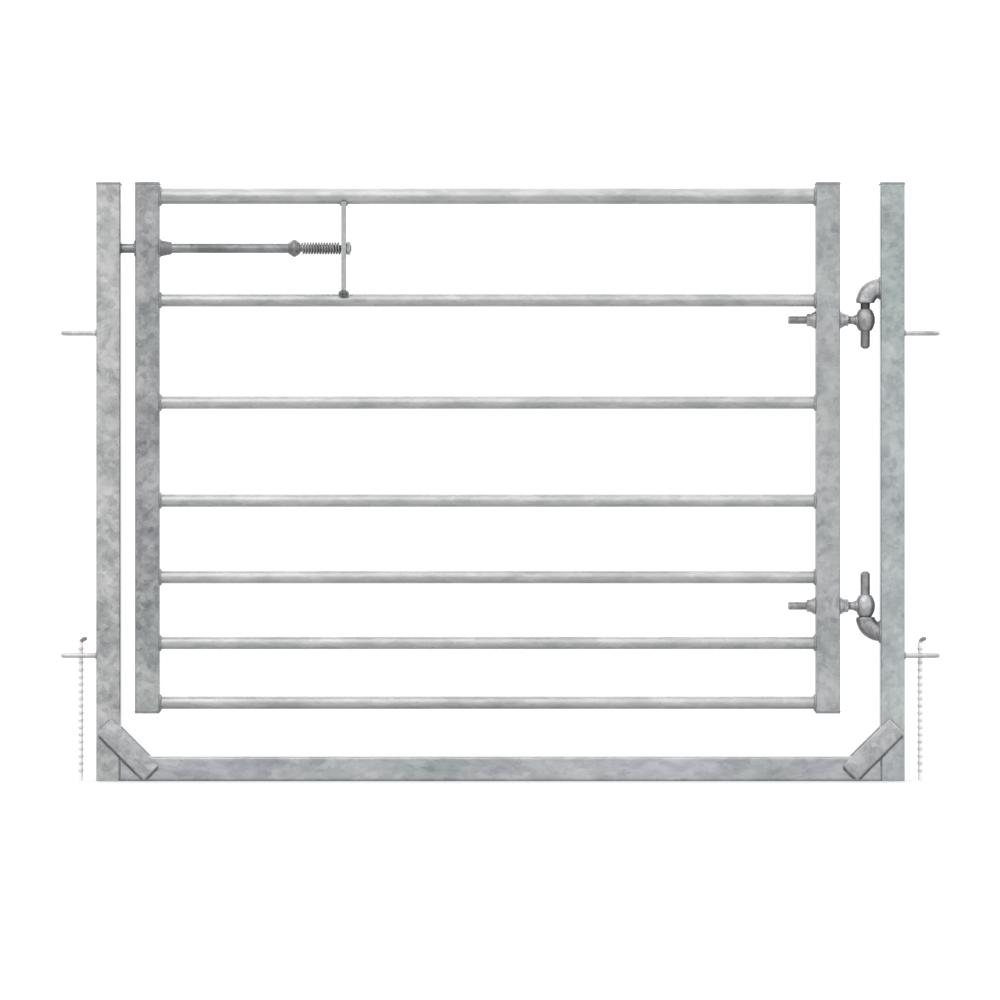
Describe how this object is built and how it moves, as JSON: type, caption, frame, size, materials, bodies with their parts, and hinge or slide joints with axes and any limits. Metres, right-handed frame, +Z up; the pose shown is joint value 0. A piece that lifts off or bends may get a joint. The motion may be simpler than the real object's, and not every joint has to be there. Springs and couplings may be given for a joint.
{
  "type": "livestock gate in frame",
  "caption": "Barred steel livestock gate on pin hinges in a standing box-section frame, with a sliding spring bolt, braced lower corners and linking loops at both sides.",
  "frame": {"origin": "on the ground, at the middle of the bottom rail's underside", "axes": "+X from the latch post to the hinge post, +Y to the back, +Z up"},
  "size_m": [1.47, 0.052, 1],
  "materials": {
    "galvanised_box": "hot-dip galvanised, mottled",
    "galvanised_tube": "hot-dip galvanised, bright on top",
    "galvanised_bar": "hot-dip galvanised",
    "hinge_steel": "dull zinc",
    "bolt_steel": "dull zinc, rubbed",
    "spring_steel": "dark drawn wire",
    "pin_steel": "ribbed bar, thin zinc with light rust"
  },
  "bodies": {
    "frame": {"latch_post": "galvanised_box", "hinge_post": "galvanised_box", "latch_post_cap": "galvanised_box", "hinge_post_cap": "galvanised_box", "bottom_rail": "galvanised_box", "front_brace_left": "galvanised_bar", "front_brace_right": "galvanised_bar", "back_brace_left": "galvanised_bar", "back_brace_right": "galvanised_bar", "top_gudgeon": "hinge_steel", "bottom_gudgeon": "hinge_steel", "upper_left_loop": "galvanised_bar", "upper_right_loop": "galvanised_bar", "lower_left_loop": "galvanised_bar", "lower_right_loop": "galvanised_bar", "left_ground_pin": "pin_steel", "right_ground_pin": "pin_steel"},
    "gate": {"latch_stile": "galvanised_box", "hinge_stile": "galvanised_box", "latch_stile_caps": "galvanised_box", "hinge_stile_caps": "galvanised_box", "top_rail": "galvanised_tube", "rail_2": "galvanised_tube", "rail_3": "galvanised_tube", "rail_4": "galvanised_tube", "rail_5": "galvanised_tube", "rail_6": "galvanised_tube", "rail_7": "galvanised_tube", "top_eye_bolt": "hinge_steel", "bottom_eye_bolt": "hinge_steel", "top_hinge_nuts": "hinge_steel", "bottom_hinge_nuts": "hinge_steel", "bolt_strap": "galvanised_bar", "bolt_guide": "bolt_steel", "bolt_spring": "spring_steel"},
    "bolt": {"latch_bolt": "bolt_steel", "bolt_collar": "bolt_steel", "bolt_end_nut": "bolt_steel"}
  },
  "joints": [
    {"name": "gate_swing", "type": "hinge", "parent": "frame", "child": "gate", "pos_m": [0.61, 0, 0.531], "axis": [0, 0, 1], "range_deg": [-105, 105]},
    {"name": "bolt_slide", "type": "slide", "parent": "gate", "child": "bolt", "axis": [1, 0, 0], "range_m": [0, 0.02], "stiffness_N_per_m": 1200, "springref_m": -0.015, "deforming": ["bolt_spring"]}
  ]
}
